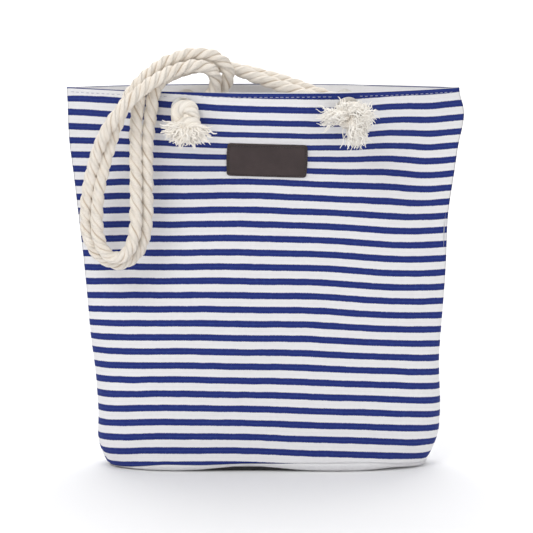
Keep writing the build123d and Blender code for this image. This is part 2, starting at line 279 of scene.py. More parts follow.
def yarn_cotton(name):
    """Loose yarns: pale, with painted shade where they leave the knot."""
    n = Nodes(name, roughness=0.95, specular=0.05, sheen=0.1)
    _, around, along, depth = n.attribute("yarn")
    patches = n.span(n.noise(n.place(), 160, 3, 0.6), 0.3, 0.75)
    tone = n.mix(patches, (0.99, 0.965, 0.915), (0.965, 0.925, 0.86))
    # painted shade: the yarns darken towards the knot; each yarn's own random tone and the tuft's overall
    # darkening go into the same mix
    tone = n.mix(n.span(depth, 0.0, 1.0, 0.0, 0.55), tone, (0.78, 0.64, 0.48))
    ply = n.wave(n.math("MULTIPLY_ADD", around, 0.0012, along), 0.0026)
    return n.finish(tone, n.bump(ply, 0.00015, 0.5))


TUFT = yarn_cotton("tuft_cotton")
LEATHER = leather("label_leather")
THREAD = thread("sewing_thread", (0.50, 0.52, 0.62), (0.32, 0.33, 0.44))
LABEL_THREAD = thread("label_thread", (0.060, 0.045, 0.043), (0.022, 0.016, 0.015))
METAL = metal("eyelet_metal")
BOARD = plastic_board("base_board")


# ---- the shape of the bag ----
def ease(t):
    t = np.clip(t, 0.0, 1.0)
    return t * t * (3 - 2 * t)


def half_width(z):
    z = np.asarray(z, float)
    low = FOOT_HALF_WIDTH - FOOT_ROUNDING * (np.clip(FOOT - z, 0, None) / (FOOT - SEAM)) ** 2
    rise = np.clip((z - FOOT) / (TOP - FOOT), 0, None)
    return np.where(z < FOOT, low, FOOT_HALF_WIDTH + (HEM_HALF_WIDTH - FOOT_HALF_WIDTH) * rise ** 1.2)


def seam_plane(z):
    return SEAM_PLANE_SHIFT * ease((np.asarray(z, float) - 90) / 200)


def middle(side, z, u):
    """Where a panel stands in Y at its middle. u is the place across it, from -1 to 1."""
    if side == BACK:
        lower = BASE_DEPTH - (BASE_DEPTH - WAIST_BACK) * ease((z - 40) / 240)
        return lower + (MOUTH_BACK - WAIST_BACK) * ease((z - 280) / (TOP - 280))
    lower = -BASE_DEPTH + (WAIST_FRONT + BASE_DEPTH) * ease((z - 20) / 250)
    crease = 300 + 30 * u * u
    return lower - LEAN * np.clip(z - 300, 0, None) - LIP * ease((z - crease) / LIP_SPAN)


def surface(side, x, z, inset=0.0):
    """Y of a panel, or of a layer inset from it: pinched at the side seams, boxy at the base."""
    x, z = np.asarray(x, float), np.asarray(z, float)
    boxy = 1 - ease((z - 40) / 220)
    u = np.clip(x / (half_width(z) - inset), -1, 1)
    depth = np.abs(middle(side, z, u) - seam_plane(z)) - inset
    round_in = (1 - np.abs(u) ** (2.3 + 1.9 * boxy)) ** (1 / (1 + 1.3 * boxy))
    return seam_plane(z) + side * depth * round_in


def slack(side, x, z):
    """How far the cloth stands off the smooth shape, in millimetres: undulations and creases."""
    x, z = np.asarray(x, float), np.asarray(z, float)
    phase = 0.7 if side == FRONT else 2.1
    wide = half_width(z)
    soft = 0.55 * np.sin(x / 31 + 1.3 * np.sin(z / 67 + phase)) * np.sin(z / 53 + phase)
    soft += 0.35 * np.sin(x / 17 - z / 29 + phase) * np.sin(z / 90)
    fold = np.zeros_like(soft)
    for sign in (-1, 1):
        # drag lines from the eyelets, and the slack that gathers above the base's corners
        dx, dz = (x - sign * EYELET_X), (z - EYELET_Z)
        r = np.hypot(dx, dz) + 1e-6
        drag = 0.8 * np.cos(6 * np.arctan2(dx, -dz)) * np.exp(-((r - 34) / 24) ** 2)
        fold += drag * ease((EYELET_Z + 8 - z) / 20)
        corner = np.exp(-(((x - sign * (wide - 26)) / 24) ** 2)) * np.exp(-(((z - 40) / 36) ** 2))
        fold += 1.5 * corner * np.sin((z + sign * 0.5 * x) / 7.5)
        side_fold = np.exp(-(((x - sign * (wide - 17)) / 12) ** 2)) * np.exp(-(((z - 215) / 80) ** 2))
        fold += 1.1 * side_fold * np.sin(z / 15 + sign)
    pucker = 0.30 * np.sin(x * 2 * pi / HEM_STITCH_PITCH) * np.exp(-(((z - HEM_STITCH_Z) / 1.6) ** 2))
    seam = 0.12 * np.sin(x / 2.9 + phase) * np.sin(x / 7.7) * np.exp(-(((z - SEAM) / 6) ** 2))
    fade = ease((wide - np.abs(x)) / 14)
    return side * ((soft * ease((TOP - z) / 25) * ease((z - SEAM) / 20) + fold) * fade + pucker + seam)


def cloth_y(side, x, z, inset=0.0):
    return surface(side, x, z, inset) + slack(side, x, z) + side * CLOTH_RISE


def hump(z, middle_z, spread):
    return np.exp(-(((np.asarray(z, float) - middle_z) / spread) ** 2))


def shifted(x, z):
    """x after the sides have buckled in and out of the smooth outline."""
    right = (5.2 * ease((125 - z) / 70) - 2.2 * ease((50 - z) / 40) - 3.0 * hump(z, 268, 42)
             + 3.2 * hump(z, 370, 22) - 5.2 * ease((z - 376) / 28))
    left = (-2.6 * ease((150 - z) / 60) + 2.6 * ease((60 - z) / 40) + 2.2 * hump(z, 300, 70)
            + 2.2 * hump(z, 352, 34))
    share = np.abs(x) / half_width(z)
    return x + np.where(x > 0, right, -left) * share ** 3


# ---- mesh helpers ----
def new_object(name, points, faces, material, attributes=()):
    """A mesh object from points in millimetres."""
    mesh = bpy.data.meshes.new(name)
    mesh.from_pydata((np.asarray(points, float) * MM).tolist(), [], [list(map(int, f)) for f in faces])
    mesh.materials.append(material)
    for key, values in dict(attributes).items():
        store = mesh.attributes.new(key, "FLOAT_VECTOR", "POINT")
        store.data.foreach_set("vector", np.asarray(values, np.float32).ravel())
    mesh.polygons.foreach_set("use_smooth", [True] * len(mesh.polygons))
    mesh.validate()
    obj = bpy.data.objects.new(name, mesh)
    SCENE.collection.objects.link(obj)
    return obj


def grid_faces(rows, columns, start=0, wrap=False, flip=False):
    faces = []
    for i in range(rows - 1):
        for j in range(columns if wrap else columns - 1):
            a, b = start + i * columns + j, start + i * columns + (j + 1) % columns
            quad = (a, b, b + columns, a + columns)
            faces.append(quad[::-1] if flip else quad)
    return faces


def across(side, z, inset, count):
    """x along a panel at one height, evenly spaced along the cloth from seam to seam."""
    wide = float(half_width(z)) - inset
    turns = np.linspace(-pi / 2, pi / 2, 721)
    x = wide * np.sin(turns)
    y = surface(side, x, z, inset)
    length = np.r_[0, np.cumsum(np.hypot(np.diff(x), np.diff(y)))]
    return np.interp(np.linspace(0, length[-1], count), length, x)


def arc_down(side, x, z, inset):
    """Arc length down the cloth from the hem, for each height (from the top) and column."""
    step = np.hypot(np.diff(surface(side, x, z, inset), axis=0), np.diff(z, axis=0))
    return np.vstack([np.zeros((1, z.shape[1])), np.cumsum(step, axis=0)])


def seam_drop(x, z):
    """How far the cloth near the seam hangs lower towards the bag's corners."""
    corner = np.where(x < 0, 5.4, 2.4) * ease((np.abs(x) - 100) / 62)
    raised = 1.9 * ease((x + 75) / 60) * ease((165 - x) / 60)
    return (corner - raised) * ease((66 - np.asarray(z, float)) / 58)


def stripe_start(side, x, z):
    """How far below the hem the first blue stripe's middle runs, with the cloth's slight pull."""
    pull = -1.5 * np.exp(-(((x - 128) / 26) ** 2)) + 0.9 * np.exp(-(((x - 172) / 18) ** 2))
    pull = pull * ease((z - 250) / 70) * ease((TOP + 6 - z) / 30)
    wander = 0.35 * np.sin(x / 37 + z / 61) + 0.25 * np.sin(x / 19 - z / 43)
    if side == BACK:
        return 7.5 - 0.01 * x - 0.00010 * x * x + wander
    pull += 1.8 * ease((-x - 110) / 60) * ease((110 - z) / 80)
    from_edge = np.clip(1 - (half_width(z) + x) / 54, 0, 1)
    pull += 4.2 * from_edge ** 1.3 * ease((z - 110) / 90)
    pull += 2.0 * from_edge ** 3 * ease((z - 380) / 20)
    return 3.3 + 0.0235 * x - 0.00014 * x * x + pull + wander


def hole_walls(faces, count, rows, columns):
    """The cut edges of a layer's two sheets, joined to each other round each hole."""
    used = {}
    for face in faces:
        for a, b in zip(face, tuple(face[1:]) + tuple(face[:1])):
            used.setdefault((min(a, b), max(a, b)), []).append((a, b))

    def other_sheet(v):
        return (count - 1 - v // columns) * columns + v % columns

    cut = [edges[0] for edges in used.values() if len(edges) == 1]
    outer = [(a, b) for a, b in cut if min(a, b) // columns >= count - rows]
    return [(b, a, other_sheet(a), other_sheet(b)) for a, b in outer]


def layer(name, side, outer, inner, low, high, material, rows, columns, node, rolled):
    """A layer of cloth over half the bag, closed round its edges and round its eyelet holes."""
    heights = np.linspace(high, low, rows)
    sheets = []
    for inset in (outer, inner):
        x = np.array([across(side, z, inset, columns) for z in heights])
        z = np.repeat(heights[:, None], columns, 1)
        y = cloth_y(side, x, z, inset)
        z = z - seam_drop(x, z)
        down = arc_down(side, x, z, inset) + (TOP - high)
        sheets.append((x, y, z, down))
    (xo, yo, zo, down), (xi, yi, zi, _) = sheets
    start = stripe_start(side, xo, zo)
    coords = [np.stack([xo[k], down[k] - start[k], 0 * xo[k]], 1) * MM for k in range(rows)]
    xo, xi = shifted(xo, zo), shifted(xi, zi)
    rings = [np.stack([xo[k], yo[k], zo[k]], 1) for k in range(rows)]
    over_points, over_coords = [], []
    steps = 6
    for i in range(1, steps):
        # the fold over the hem, from the outside to the inside
        turn = pi * i / steps
        share = (1 - cos(turn)) / 2
        lift = (abs(outer - inner) / 2 + rolled) * sin(turn)
        point = np.stack([xo[0] + (xi[0] - xo[0]) * share, yo[0] + (yi[0] - yo[0]) * share,
                          zo[0] + lift], 1)
        over_points.insert(0, point)
        over_coords.insert(0, np.stack([xo[0], -start[0] - 1.2 * i, 0 * xo[0]], 1) * MM)
    inner_rings = [np.stack([xi[k], yi[k], zi[k]], 1) for k in range(rows)]
    inner_coords = [c * (1, -1, 1) for c in coords]
    rings = inner_rings[::-1] + over_points + rings
    coords = inner_coords[::-1] + over_coords + coords
    count = len(rings)
    faces = grid_faces(count, columns, flip=side == FRONT)
    # the ends of the two sheets meet along the bottom and up both sides
    for j in range(columns - 1):
        a, b = (count - 1) * columns + j, j
        quad = (a, a + 1, b + 1, b)
        faces.append(quad[::-1] if side == FRONT else quad)
    points = np.vstack(rings)
    for j, turned in ((0, False), (columns - 1, True)):
        for k in range((count - 1) // 2):
            a, b = k, count - 1 - k
            quad = (a * columns + j, (a + 1) * columns + j, (b - 1) * columns + j, b * columns + j)
            if quad[1] == quad[2]:
                quad = (quad[0], quad[1], quad[3])
            faces.append(quad if turned == (side == FRONT) else quad[::-1])
    off_eyelet = np.abs(np.abs(points[:, 0]) - EYELET_X)
    inside = (np.hypot(off_eyelet, points[:, 2] - EYELET_Z) < EYELET_HOLE).reshape(count, columns)
    inside[:rows] = inside[count - rows:][::-1]
    inside = inside.ravel()
    faces = [f for f in faces if not all(inside[list(f)])]
    faces += hole_walls(faces, count, rows, columns)
    used = np.unique(np.concatenate([np.array(f) for f in faces]))
    lookup = -np.ones(len(points), int)
    lookup[used] = np.arange(len(used))
    faces = [[lookup[v] for v in f] for f in faces]
    obj = new_object(name, points[used], faces, material, attributes={"cloth": np.vstack(coords)[used]})
    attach(obj, "bag")
    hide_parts(node)
    return obj


HEM = TOP - 1.6  # the fold over the hem starts at this height
for side, word in ((FRONT, "front"), (BACK, "back")):
    panel = layer(f"{word}_canvas", side, 0.0, CANVAS, SEAM - 0.9, HEM, STRIPED, 176, 190,
                  f"{word}_panel", rolled=0.5)
    facing_out = CANVAS + LAYER_GAP
    facing = layer(f"{word}_hem_facing", side, facing_out, facing_out + FACING, TOP - FACING_HEIGHT,
                   HEM - 1.2, PLAIN, 24, 170, f"{word}_facing", rolled=0.3)


# ---- base ----
def base_floor(x, y):
    """How far the base's underside stands off the ground: two lobes rest, the rest curls up."""
    near_front = ease((-y - 12) / 26)
    near_back = ease((y - 14) / 24)
    lobes_front = 5.6 * np.exp(-((x + 18) / 46) ** 2) + 2.4 * ease((np.abs(x + 18) - 112) / 52)
    lobes_back = 3.0 * np.exp(-((x - 10) / 60) ** 2) + 2.4 * ease((np.abs(x) - 118) / 48)
    return near_front * lobes_front + near_back * lobes_back + 0.35


def base_cloth():
    """The base: a tray of cloth whose rim runs up behind the panels."""
    columns = 150
    outline = []
    for side in (FRONT, BACK):
        x = across(side, SEAM, 0.0, columns)
        y = cloth_y(side, x, np.full_like(x, SEAM), 0.0)
        line = np.stack([x, y], 1)
        outline.append(line if side == FRONT else line[::-1])
    outline = np.vstack(outline)
    outline[:, 0] = shifted(outline[:, 0], SEAM)
    ahead = np.roll(outline, -1, 0) - np.roll(outline, 1, 0)
    ahead /= np.linalg.norm(ahead, axis=1)[:, None] + 1e-9
    inward = np.stack([-ahead[:, 1], ahead[:, 0]], 1)
    count = len(outline)
    centre_line = np.stack([np.clip(outline[:, 0], -140, 140), 0 * outline[:, 1]], 1)
    stitched = np.arange(count)
    gather = 0.30 * np.sin(stitched * 0.9) * np.sin(stitched * 0.23)

    def ring(share_in, z_share, to_middle, thick):
        flat = outline + inward * (share_in + thick)
        flat = flat + (centre_line - flat) * to_middle
        low = base_floor(flat[:, 0], flat[:, 1]) + thick
        z = low + (SEAM + 1.4 - seam_drop(flat[:, 0], SEAM) - low) * z_share
        # above the panel's lower edge the cloth runs behind the panel
        behind = ease((z - (SEAM - 2.0 - seam_drop(flat[:, 0], SEAM))) / 1.0)
        swell = (gather + 0.8 * sin(pi * z_share)) * (1 - to_middle) * (z_share > 0)
        push = 0.75 * behind * (z_share > 0) - swell * (1 - behind)
        return np.column_stack([flat + inward * push[:, None], z])

    profile = []
    for i in range(11):
        turn = pi / 2 * i / 10
        profile.append((BASE_ROUNDING * (1 - cos(turn)), 1 - sin(turn), 0.0))
    for share in (0.06, 0.14, 0.26, 0.42, 0.60, 0.78, 0.92, 1.0):
        profile.append((BASE_ROUNDING, 0.0, share))
    outer = [ring(*p, 0.0) for p in profile]
    inner = [ring(*p, BASE_CLOTH) for p in profile]
    rings = inner[::-1] + outer
    points = np.vstack(rings)
    faces = grid_faces(len(rings), count, wrap=True, flip=True)
    last = (len(rings) - 1) * count
    for j in range(columns - 1):
        # the middle of each layer closes along the centre line
        quad = (j, j + 1, count - 2 - j, count - 1 - j)
        faces += [quad[::-1], tuple(v + last for v in quad)]
    down = np.arange(len(rings))[:, None] * 2.2 + np.zeros((1, count))
    along = np.cumsum(np.r_[0, np.linalg.norm(np.diff(outline, axis=0), axis=1)])[None, :] + 0 * down
    coords = np.stack([along, down, 0 * down], 2).reshape(-1, 3) * MM
    return points, faces, coords


points, faces, coords = base_cloth()
base = new_object("base_cloth", points, faces, PLAIN, attributes={"cloth": coords})
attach(base, "bag")
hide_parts("base_panel")


# ---- lining ----
def lining_walls():
    """The lining's walls: two rings of cloth that close at the top and at the bottom."""
    rows, columns = 110, 120
    heights = np.linspace(TOP - FACING_HEIGHT + 6, SEAM, rows)
    inset = CANVAS + LAYER_GAP + FACING + LINING_GAP
    outer, inner, coords = [], [], []
    for z in heights:
        for rings, deeper in ((outer, 0.0), (inner, LINING)):
            parts = []
            for side in (FRONT, BACK):
                x = across(side, z, inset + deeper, columns)
                y = cloth_y(side, x, np.full_like(x, z), inset + deeper) - side * 0.3
                y -= side * 0.5 * (1 + np.sin(x / 23 + z / 41)) * ease((z - 20) / 60)
                line = np.stack([shifted(x, z), y, np.full_like(x, z)], 1)
                parts.append(line[:-1] if side == FRONT else line[::-1][:-1])
            rings.append(np.vstack(parts))
        across_it = outer[-1][:, 0]
        coords.append(np.stack([across_it, np.full(len(across_it), TOP - z), 0 * across_it], 1) * MM)
    around = inner[::-1] + outer
    points = np.vstack(around)
    count = len(outer[0])
    faces = grid_faces(len(around), count, wrap=True, flip=True)
    last = (len(around) - 1) * count
    for j in range(count):
        k = (j + 1) % count
        faces.append((j, k, last + k, last + j))
    return points, faces, np.vstack(coords[::-1] + coords)


points, faces, coords = lining_walls()
lining = new_object("lining_cloth", points, faces, PLAIN, attributes={"cloth": coords})
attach(lining, "bag")
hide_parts("lining_walls")


def lining_floor():
    """The lining's floor, a thin cloth that lies on the base board."""
    columns, shares = 90, np.linspace(0.04, 1.0, 16)
    margin = float(half_width(SEAM)) - FLOOR_HALF_WIDTH
    outline = []
    for side in (FRONT, BACK):
        x = across(side, SEAM, margin, columns)
        line = np.stack([x, surface(side, x, np.full_like(x, SEAM), margin)], 1)
        outline.append(line[:-1] if side == FRONT else line[::-1][:-1])
    outline = np.vstack(outline)
    count = len(outline)
    spine = np.stack([np.clip(outline[:, 0], -120, 120), 0 * outline[:, 1]], 1)
    upper, lower = [], []
    for share in shares:
        flat = spine + (outline - spine) * share
        wave = 0.35 * (1 + np.sin(flat[:, 0] / 19) * np.sin(flat[:, 1] / 11)) * ease((1 - share) / 0.15)
        upper.append(np.column_stack([flat, FLOOR_Z + LINING + wave]))
        lower.append(np.column_stack([flat, FLOOR_Z + 0.02 + wave]))
    rings = upper + lower[::-1]
    points = np.vstack(rings)
    faces = grid_faces(len(rings), count, wrap=True)
    last = (len(rings) - 1) * count
    for j in range(columns - 2):
        quad = (j, j + 1, count - 2 - j, count - 1 - j)
        faces += [quad[::-1], tuple(v + last for v in quad)]
    return points, faces, points * MM


points, faces, coords = lining_floor()
floor_cloth = new_object("lining_floor_cloth", points, faces, PLAIN, attributes={"cloth": coords})
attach(floor_cloth, "bag")
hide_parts("lining_floor")


# ---- stitches ----
def stitch(start, end, out, radius, sink):
    """One thread stitch as a small arched tube between two points."""
    start, end, out = (np.asarray(p, float) for p in (start, end, out))
    along = end - start
    length = np.linalg.norm(along)
    along /= length
    side = np.cross(out, along)
    side /= np.linalg.norm(side)
    up = np.cross(along, side)
    rings = []
    steps, sides = 7, 7
    for i in range(steps):
        t = i / (steps - 1)
        arch = sin(pi * t)
        centre = start + along * length * t + up * (arch * radius * 0.8 - sink * (1 - arch))
        size = radius * (0.55 + 0.45 * sqrt(arch))
        for j in range(sides):
            turn = 2 * pi * j / sides
            rings.append(centre + size * (cos(turn) * side + sin(turn) * up))
    faces = grid_faces(steps, sides, wrap=True)
    faces += [list(range(sides))[::-1], [(steps - 1) * sides + j for j in range(sides)]]
    return np.array(rings), faces


def joined(pieces):
    points, faces, start = [], [], 0
    for some_points, some_faces in pieces:
        points.append(some_points)
        faces += [[v + start for v in f] for f in some_faces]
        start += len(some_points)
    return np.vstack(points), faces


def surface_out(side, x, z):
    """The way out of a panel at a point, as a unit vector."""
    step = 1.5
    dx = (cloth_y(side, x + step, z) - cloth_y(side, x - step, z)) / (2 * step)
    dz = (cloth_y(side, x, z + step) - cloth_y(side, x, z - step)) / (2 * step)
    out = np.array([-dx, 1.0, -dz]) * side
    return out / np.linalg.norm(out)


def on_cloth(side, x, z, stand_off=0.0):
    return np.array([x, float(cloth_y(side, x, z)), z]) + surface_out(side, x, z) * stand_off


def on_hem(side, x, z):
    point = on_cloth(side, x, z, 0.1)
    point[0] = shifted(point[0], z)
    return point


rng = np.random.default_rng(7)
stitches = []
for side in (FRONT, BACK):
    place = -HEM_STITCH_REACH
    while place < HEM_STITCH_REACH:
        x = place + rng.uniform(-0.25, 0.25)
        z = HEM_STITCH_Z + rng.uniform(-0.12, 0.12)
        if abs(abs(x) - EYELET_X) > EYELET_CLEARANCE or abs(z - EYELET_Z) > EYELET_CLEARANCE:
            long = HEM_STITCH_LENGTH + rng.uniform(-0.2, 0.2)
            out = surface_out(side, x, z)
            stitches.append(stitch(on_hem(side, x - long / 2, z), on_hem(side, x + long / 2, z),
                                   out, 0.30, 0.24))
        place += HEM_STITCH_PITCH
points, faces = joined(stitches)
hem_stitches = new_object("hem_stitches", points, faces, THREAD)
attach(hem_stitches, "bag")
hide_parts("hem_stitching")


# ---- leather label ----
LABEL_X, LABEL_Z, LABEL_WIDTH, LABEL_HEIGHT = 1.5, 330.0, 83.0, 36.5
LABEL_TURN = radians(-1.7)
LABEL_CORNER, LABEL_BOW, LABEL_POINTS = 3.0, 0.9, 168
CUT_EDGE_RINGS, RAGGED_RINGS = 4, 3
# how far in from the edge, and how far off the cloth, each of the label's rings lies
LABEL_LEVELS = [
    (0.0, 0.15), (0.0, 1.3), (0.25, 1.8), (0.7, 2.05), (1.3, 2.0), (1.7, 1.72), (2.2, 1.68), (2.7, 1.95),
    (3.3, 2.1), (5.0, 2.15), (7.5, 2.2), (10.0, 2.25), (13.0, 2.3), (16.0, 2.35),
]
FRAME_LINE = {4: 0.35, 5: 1.0, 6: 1.0, 7: 0.35}  # how strongly the pressed line marks each ring
LABEL_STITCH_IN, LABEL_STITCH_UP, LABEL_STITCH_HALF = 1.95, 1.75, 0.95


def label_place(a, b, stand_off):
    """A point of the label from its own sideways and upward measures, in millimetres."""
    x = LABEL_X + a * cos(LABEL_TURN) - b * sin(LABEL_TURN)
    z = LABEL_Z + a * sin(LABEL_TURN) + b * cos(LABEL_TURN)
    return on_cloth(FRONT, x, z, stand_off)


def label():
    """The label's rings, from its cut edge up and in over its face, each a rounded rectangle."""
    rings, marks = [], []
    heading = [(0, 1), (-1, 0), (0, -1), (1, 0)]
    for k, (inward, rise) in enumerate(LABEL_LEVELS):
        half_w, half_h = LABEL_WIDTH / 2 - inward, LABEL_HEIGHT / 2 - inward
        corner = max(LABEL_CORNER - inward, 0.6)
        runs = [2 * (half_h - corner), 2 * (half_w - corner)] * 2
        quarter = pi / 2 * corner
        total = sum(runs) + 4 * quarter
        corners = [(half_w - corner, half_h - corner), (-(half_w - corner), half_h - corner),
                   (-(half_w - corner), -(half_h - corner)), (half_w - corner, -(half_h - corner))]
        begin = [(half_w, -(half_h - corner)), (half_w - corner, half_h),
                 (-half_w, half_h - corner), (-(half_w - corner), -half_h)]
        for i in range(LABEL_POINTS):
            # walked by the share of the outline, side by side and corner by corner
            s = total * i / LABEL_POINTS
            a, b = begin[0]
            for q in range(4):
                if s <= runs[q]:
                    a, b = begin[q][0] + heading[q][0] * s, begin[q][1] + heading[q][1] * s
                    break
                s -= runs[q]
                if s <= quarter:
                    turn = q * pi / 2 + s / corner
                    a, b = corners[q][0] + corner * cos(turn), corners[q][1] + corner * sin(turn)
                    break
                s -= quarter
            # the short sides bow out a little, and the cut edge is slightly ragged
            bow = LABEL_BOW * (1 - (b / half_h) ** 2) * (a / half_w) if abs(a) > half_w * 0.7 else 0
            ragged = 0.10 * sin(i * 2.1) if k < RAGGED_RINGS else 0
            rings.append(label_place(a + bow + ragged, b, rise))
            marks.append((FRAME_LINE.get(k, 0.0), 1.0 if k < CUT_EDGE_RINGS else 0.0, 0))
    faces = grid_faces(len(LABEL_LEVELS), LABEL_POINTS, wrap=True)
    last = (len(LABEL_LEVELS) - 1) * LABEL_POINTS
    # the strip left in the middle is one face
    faces.append([last + i for i in range(LABEL_POINTS)])
    return np.array(rings), faces, np.array(marks, float)


points, faces, marks = label()
patch = new_object("label_leather", points, faces, LEATHER, attributes={"label": marks})
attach(patch, "bag")
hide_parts("leather_label")



def label_stitch(a, b, along_a, along_b):
    out = surface_out(FRONT, LABEL_X + a, LABEL_Z + b)
    start = label_place(a - along_a, b - along_b, LABEL_STITCH_UP)
    return stitch(start, label_place(a + along_a, b + along_b, LABEL_STITCH_UP), out, 0.36, 0.2)


stitches = []
for sign in (-1, 1):
    for a in np.arange(-37.5, 38, 3.0):
        stitches.append(label_stitch(a, sign * (LABEL_HEIGHT / 2 - LABEL_STITCH_IN), LABEL_STITCH_HALF, 0))
    for b in np.arange(-13.5, 14, 3.0):
        a = sign * (LABEL_WIDTH / 2 - LABEL_STITCH_IN + LABEL_BOW * (1 - (b / 18.2) ** 2))
        stitches.append(label_stitch(a, b, 0, LABEL_STITCH_HALF))
points, faces = joined(stitches)
label_stitches = new_object("label_stitches", points, faces, LABEL_THREAD)
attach(label_stitches, "bag")
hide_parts("label_stitching")


# ---- rope ----
def smooth_path(name, route, step=1.0):
    """Points read from the route's smooth curve, evenly spaced, in millimetres."""
    curve = bpy.data.curves.new(name, "CURVE")
    curve.dimensions = "3D"
    spline = curve.splines.new("NURBS")
    spline.points.add(len(route) - 1)
    for point, place in zip(spline.points, route):
        point.co = (*(c * MM for c in place), 1)
    spline.order_u = 3
    spline.use_endpoint_u = True
    spline.resolution_u = 24
    holder = bpy.data.objects.new(name, curve)
    SCENE.collection.objects.link(holder)
    mesh = bpy.data.meshes.new_from_object(holder)
    line = np.array([v.co for v in mesh.vertices], float) / MM
    bpy.data.objects.remove(holder)
    bpy.data.meshes.remove(mesh)
    length = np.r_[0, np.cumsum(np.linalg.norm(np.diff(line, axis=0), axis=1))]
    places = np.linspace(0, length[-1], max(3, int(length[-1] / step) + 1))
    return np.stack([np.interp(places, length, line[:, i]) for i in range(3)], 1), places


def carried_frames(line):
    """Two directions across the line at each point, carried along it without twisting."""
    ahead = np.gradient(line, axis=0)
    ahead /= np.linalg.norm(ahead, axis=1)[:, None] + 1e-12
    first = np.cross(ahead[0], (0.3, 0.9, 0.2))
    first /= np.linalg.norm(first)
    sides = [first]
    for i in range(1, len(line)):
        vector = sides[-1] - ahead[i] * (sides[-1] @ ahead[i])
        sides.append(vector / np.linalg.norm(vector))
    sides = np.array(sides)
    return ahead, sides, np.cross(ahead, sides)


STRANDS, STRAND_SIDES = 3, 16


def strands(line, places, offset, radius, lay, seed):
    """Laid strands round a line: their points, their faces and their yarn coordinates."""
    _, across_line, up = carried_frames(line)
    draw = np.random.default_rng(seed)
    rows = len(line)
    points, coords, faces = [], [], []
    for strand in range(STRANDS):
        wander = draw.uniform(0, 6.28)
        turn = -2 * pi * places / lay + strand * 2 * pi / STRANDS
        turn = turn + 0.12 * np.sin(places / 19 + wander)
        size = 1 + 0.05 * np.sin(places / 11 + wander) + 0.03 * np.sin(places / 4.3 + 2 * wander)
        out = np.cos(turn)[:, None] * across_line + np.sin(turn)[:, None] * up
        around = -np.sin(turn)[:, None] * across_line + np.cos(turn)[:, None] * up
        centre = line + out * offset
        tangent = np.gradient(centre, axis=0)
        tangent /= np.linalg.norm(tangent, axis=1)[:, None] + 1e-12
        flat = around - tangent * np.sum(around * tangent, axis=1)[:, None]
        flat /= np.linalg.norm(flat, axis=1)[:, None]
        rings, marks = [], []
        for j in range(STRAND_SIDES):
            angle = 2 * pi * j / STRAND_SIDES
            ridge = 1 + 0.035 * np.cos(5 * angle + places / 2.6 + strand)
            away = cos(angle) * out + 1.04 * sin(angle) * flat
            rings.append(centre + (radius * size * ridge)[:, None] * away)
            # how far this side of a strand faces in, towards the hollows between the strands; it sets the
            # painted shade there
            buried = 0.5 - 0.5 * cos(angle)
            groove_shade = min(1.0, max(0.0, (buried - 0.20) / 0.42))
            marks.append(np.stack([np.full(rows, angle), places * MM, np.full(rows, groove_shade)], 1))
        begin = strand * rows * STRAND_SIDES
        points.append(np.stack(rings, 1).reshape(-1, 3))
        coords.append(np.stack(marks, 1).reshape(-1, 3))
        faces += grid_faces(rows, STRAND_SIDES, start=begin, wrap=True)
        faces.append([begin + j for j in range(STRAND_SIDES)][::-1])
        faces.append([begin + (rows - 1) * STRAND_SIDES + j for j in range(STRAND_SIDES)])
    return np.vstack(points), faces, np.vstack(coords)


STRAND_OFFSET, STRAND_RADIUS, ROPE_LAY = 3.15, 3.75, 41.5
rope_paths = {}
ropes = {}
for word, route, seed in (("front", FRONT_ROUTE, 3), ("back", BACK_ROUTE, 4)):
    line, places = smooth_path(f"{word}_line", route)
    points, faces, coords = strands(line, places, STRAND_OFFSET, STRAND_RADIUS, ROPE_LAY, seed)
    rope = new_object(f"{word}_rope", points, faces, COTTON, attributes={"yarn": coords})
    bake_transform(rope)
    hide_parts(f"{word}_handle_left_arm", f"{word}_handle_loop", f"{word}_handle_right_arm")
    ropes[word], rope_paths[word] = rope, line * MM


# ---- knots ----
KNOT_STRAND_RADIUS, KNOT_LAY, KNOT_CORE = STRAND_RADIUS * 1.06, 40.0, 6.0


def ball(centre, radius):
    """A ball that fills the hollow inside a knot."""
    turns, steps = 14, np.linspace(0.12, pi - 0.12, 10)
    points = [centre + radius * np.array([sin(t) * cos(2 * pi * j / turns),
                                          sin(t) * sin(2 * pi * j / turns), cos(t)])
              for t in steps for j in range(turns)]
    faces = grid_faces(len(steps), turns, wrap=True, flip=True)
    faces += [list(range(turns)), [(len(steps) - 1) * turns + j for j in range(turns)][::-1]]
    return np.array(points), faces


def knot(name, node, centre, side, plan, seed, thick):
    """A rope knot from one short rope laid through the plan's points, which are measured from
    centre: sideways, out of the bag and up."""
    route = [(centre[0] + a, centre[1] + side * b, centre[2] + c) for a, b, c in plan]
    line, places = smooth_path(name, route, 0.8)
    points, faces, coords = strands(
        line, places, STRAND_OFFSET * thick, KNOT_STRAND_RADIUS * thick, KNOT_LAY, seed)
    core = ball(np.mean(line[len(line) // 4: 3 * len(line) // 4], axis=0), KNOT_CORE)
    points, faces = joined([(points, faces), core])
    coords = np.vstack([coords, np.zeros((len(core[0]), 3))])
    obj = new_object(name, points, faces, PAINTED_LIT_KNOT_COTTON, attributes={"yarn": coords})
    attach(obj, "bag")
    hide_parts(node)
    return obj


OVERHAND = [
    (0, -6, -4), (-2, 2, -9), (-7, 7, -12), (-9, 11, -4), (-7.5, 13, 5), (0, 14, 9), (7.5, 13, 5),
    (9, 11, -4), (7, 8, -12), (-1, 6, -15), (-7, 9, -14), (-4, 15, -10), (4, 18, -9), (11, 16, -12),
    (12, 12, -18), (5, 9, -22), (0, 9, -22),
]
LOW_KNOT = [
    (0, -6, 0), (0, 2, 0), (3, 8, 6), (9, 12, 4), (9, 15, -5), (2, 17, -10), (-7, 15, -7),
    (-9, 12, 2), (-3, 8, 7), (5, 7, 4), (5, 10, -4), (2, 12, -10), (1, 11, -14),
]
